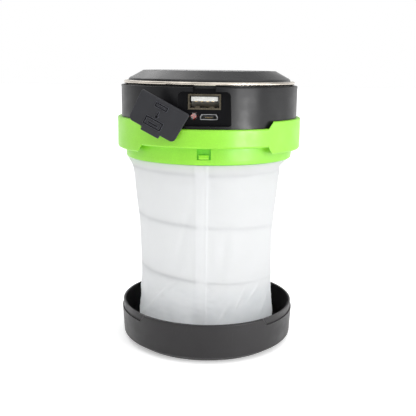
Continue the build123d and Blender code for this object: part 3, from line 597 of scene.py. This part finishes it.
def crease_lift(angle, height, crease):
    """A pulled crease, a ridge with a shallow hollow below it that fades out at both ends: its lift, and how
    far each point is on the ridge of a sharp one, 0 to 1, where it gets a painted highlight."""
    start, end, width, lift = crease
    across = (np.degrees(angle) - start[0] + 180) % 360 - 180
    point = np.stack([np.radians(across) * SLEEVE_R, height - start[1]], axis=-1)
    run = np.array([math.radians(end[0] - start[0]) * SLEEVE_R, end[1] - start[1]])
    length = np.hypot(*run)
    along = point @ (run / length)
    offset = point @ (np.array([-run[1], run[0]]) / length)
    fade = bell(along / length - 0.5, 0.42)
    ridge_and_highlight = fade * bell(offset, width)
    hollow = 0.6 * fade * bell(offset - 2.2 * width, 1.8 * width)
    return lift * (ridge_and_highlight - hollow), ridge_and_highlight * (width < 1)


def wander(points, size):
    """Smooth noise from -1 to 1 at each point, in patches of this size."""
    scaled = points / size
    return np.array([noise.noise(Vector(p)) for p in scaled.reshape(-1, 3)]).reshape(points.shape[:-1])


def sleeve_grid():
    """The flat sheet's points: length along the cloth from the middle of the front, and height."""
    columns = np.linspace(SHEET_START, SHEET_END, round((SHEET_END - SHEET_START) / SLEEVE_STEP))
    rows = np.linspace(SLEEVE_FOOT, SLEEVE_TOP, round((SLEEVE_TOP - SLEEVE_FOOT) / SLEEVE_STEP))
    return np.meshgrid(columns, rows)


def rolled(angle, radius, height):
    """Points round the lantern's axis, at an angle to the right of the front."""
    direction = np.stack([np.sin(angle), -np.cos(angle)], axis=-1)
    return np.concatenate([direction * radius[..., None], height[..., None]], axis=-1)


def lean_in(place):
    """The same points, squeezed and slanted, so that noise taken at them runs in slanting folds."""
    return place @ np.array([[1, 0, 0], [0, 1, 0], [0.35, 0, 0.3]])


def slack_radius(angle, height, place):
    """Between its held ends the cloth hangs a little slack, stands to the left and waves slightly."""
    free = np.clip((height - SLEEVE_FOOT) / FOOT_HOLD, 0, 1) * np.clip((SLEEVE_TOP - height) / TOP_HOLD, 0, 1)
    shift = SLEEVE_SHIFT * free + TOP_SHIFT * bell(height - TOP_SHIFT_Z, 15)
    leaning = lean_in(place)
    waves = 0.3 * wander(leaning, 13) + 0.14 * wander(place * [1, 1, 0.5], 6)
    crumple = 0.45 * wander(leaning + 50, 8) + 0.2 * wander(place * [1, 1, 2], 3.5)
    radius = sleeve_radius(height) - SLACK * free - shift * np.sin(angle)
    radius += free * waves
    return radius + free * bell(height - CRUMPLE_Z, 13) * crumple


def tented(radius, angle, height):
    """Tents the cloth over each hoop. On the left the wire shows through it as a painted shadow line, and on
    the
    right a painted shine lies over it: the new radius, and those two."""
    to_the_right = 0.5 + 0.5 * np.tanh(3 * np.sin(angle - SEAM_ANGLE))
    wire_shadow = np.zeros_like(radius)
    shine = np.zeros_like(radius)
    for name in HOOPS:
        hoop_z, hoop_r, lean = hoop_circle(name)
        offset = height - (hoop_z - hoop_r * np.sin(angle) * math.tan(lean))
        bend = np.sqrt(offset**2 + TENT_ROUNDING) - math.sqrt(TENT_ROUNDING)
        tent = hoop_r + TENT_GAP - TENT_SLOPE * bend
        radius = np.logaddexp(radius * 8, tent * 8) / 8
        wire_shadow += bell(offset, PAINTED_HOOP_LINE) * (1 - to_the_right)
        shine = np.maximum(shine, bell(offset, 1.5 * PAINTED_HOOP_LINE) * to_the_right)
    return radius, wire_shadow, shine


def sleeve_dirt_and_shade(angle, height, place, doubled):
    """How much painted shade, partly dirt, darkens the cloth: most at its foot and, in patches, under the
    lowest hoop.
    """
    under = 1 / (1 + np.exp(height - DIRT_AND_SHADE_Z + 2.4 * np.sin(angle)))
    patchy = 0.35 * wander(place, 6) + 0.2 * wander(place, 2.5)
    dirt_and_shade = 0.75 * bell(height - SLEEVE_FOOT, 15) + under * (0.4 + 0.32 * np.sin(angle) + patchy)
    return (dirt_and_shade * (1 - 0.5 * doubled)).clip(0, 1)


def sheet_mesh(name, points, looks):
    """A grid of points as a smooth mesh, with a named value per point for each look."""
    count_z, count_a, _ = points.shape
    corner = (np.arange(count_z - 1)[:, None] * count_a + np.arange(count_a - 1)).reshape(-1)
    faces = np.stack([corner, corner + 1, corner + count_a + 1, corner + count_a], axis=-1)
    mesh = bpy.data.meshes.new(name)
    mesh.from_pydata(points.reshape(-1, 3).tolist(), [], faces.tolist())
    mesh.shade_smooth()
    for look, values in looks.items():
        mesh.attributes.new(look, "FLOAT", "POINT").data.foreach_set("value", values.reshape(-1))
    return mesh


def sleeve():
    """One sheet rolled into a tube, its edges lapped and bonded at the front, held out by three hoops."""
    along, height = sleeve_grid()
    angle = along / SLEEVE_R
    place = rolled(angle, sleeve_radius(height), height)
    radius = slack_radius(angle, height, place)
    ridge_highlights = np.zeros_like(radius)
    for crease in CREASES:
        lift, ridge_and_highlight = crease_lift(angle, height, crease)
        radius += lift
        ridge_highlights = np.maximum(ridge_highlights, ridge_and_highlight)
    radius, wire_shadow, shine = tented(radius, angle, height)
    # the outer layer rises over the inner one and ends in a raised weld
    from_lap = along - SHEET_END + SLEEVE_LAP
    radius += LAP_LIFT * np.clip((from_lap + LAP_RAMP) / LAP_RAMP, 0, 1)
    weld = bell(along - SHEET_END + WELD_WIDTH, WELD_WIDTH)
    radius += WELD_HEIGHT * weld

    doubled = np.maximum(from_lap, SHEET_START + SLEEVE_LAP - along).clip(0, DOUBLED_RAMP) / DOUBLED_RAMP
    wire_shadow *= (0.8 + 0.4 * wander(lean_in(place), 9)) * (1 - 0.85 * (doubled + weld).clip(0, 1))
    looks = {
        "weld": weld,
        "doubled": doubled,
        "dirt_and_shade": sleeve_dirt_and_shade(angle, height, place, doubled),
        "ridge_and_highlight": np.maximum(ridge_highlights, shine),
        "wire_shadow": wire_shadow,
    }
    mesh = sheet_mesh("sleeve", rolled(angle, radius, height) * MM, looks)
    mesh.materials.append(materials["shade_sheet"])
    piece = add_object("sleeve", mesh)
    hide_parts("shade")
    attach(piece, "base")
    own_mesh(piece)


# ---------------------------------------------------------------- studio pieces
def studio_floor():
    """A plain white light table, with the faintest mottling."""
    finish = Finish("studio_floor", (0.92, 0.92, 0.925), 0.8, Specular_IOR_Level=0.1,
                    Emission_Strength=FLOOR_GLOW)
    finish.set_input(finish.shader, "Emission Color", (1, 1, 1, 1))
    finish.shade(finish.remap(finish.cloud(60, detail=2), 0.4, 0.7, 0, 0.3), 0.98)
    bpy.ops.mesh.primitive_plane_add(size=FLOOR_SIZE)
    plane = bpy.context.object
    plane.name = "studio_floor"
    plane.data.materials.append(finish.material)


def soft_box(name, place, width, height, power):
    """A round or oval lamp, turned towards the middle of the lantern."""
    lamp = bpy.data.lights.new(name, "AREA")
    lamp.shape = "ELLIPSE"
    lamp.size = width
    lamp.size_y = height
    lamp.energy = power
    holder = add_object(name, lamp)
    holder.location = place
    aim = Vector(LAMP_AIM) - Vector(place)
    holder.rotation_euler = aim.to_track_quat("-Z", "Y").to_euler()
    return holder


def white_tent():
    """The world: a white tent, dimmer overhead, on the left and behind the camera. Seen directly, it is plain
    white all round."""
    world = bpy.data.worlds.new("studio")
    world.use_nodes = True
    nodes = Nodes(world.node_tree)
    split = nodes.node("ShaderNodeSeparateXYZ")
    nodes.set_input(split, 0, nodes.node("ShaderNodeTexCoord").outputs["Generated"])
    strength = 1.0
    for axis, start, end, light in FADES:
        fade = nodes.remap(split.outputs[axis], start, end, 1.0, light, "LINEAR")
        strength = nodes.maths("MULTIPLY", fade, strength)
    seen = nodes.node("ShaderNodeLightPath").outputs["Is Camera Ray"]
    background = nodes.tree.nodes["Background"]
    nodes.set_input(background, "Strength", nodes.maths("MAXIMUM", seen, strength))
    nodes.set_input(background, "Color", (1, 1, 1, 1))
    bpy.context.scene.world = world


def studio_lamps():
    """A very broad sun lamp, and lamps on the right."""
    sun = bpy.data.lights.new("sun", "SUN")
    sun.energy = SUN_POWER
    sun.angle = SUN_WIDTH
    add_object("sun", sun).rotation_euler = Vector(SUN_DIRECTION).to_track_quat("-Z", "Y").to_euler()
    soft_box(*KEY).visible_glossy = False
    # these show only as a sheen. Those on the right of the head are low, so that its flat top never mirrors
    # them, and the third is over the left of the dome
    for settings in SHEENS:
        sheen = soft_box(*settings)
        sheen.visible_diffuse = False
        sheen.visible_transmission = False


def photo_camera():
    camera = bpy.data.cameras.new("photo")
    camera.lens = CAMERA_LENS
    camera.sensor_width = SENSOR_WIDTH
    orbit = math.radians(CAMERA_ORBIT)
    reach = CAMERA_DISTANCE * MM
    place = Vector((reach * math.sin(orbit), -reach * math.cos(orbit), CAMERA_HEIGHT * MM))
    turn = Matrix.Rotation(orbit, 4, "Z") @ Matrix.Rotation(math.radians(90 - CAMERA_PITCH), 4, "X")
    turn = turn @ Matrix.Rotation(math.radians(CAMERA_ROLL), 4, "Z")
    holder = add_object("photo", camera)
    holder.matrix_world = Matrix.Translation(place) @ turn
    bpy.context.scene.camera = holder


bpy.context.scene.view_settings.view_transform = "Standard"
dress_nodes()
sleeve()
studio_floor()
white_tent()
studio_lamps()
photo_camera()
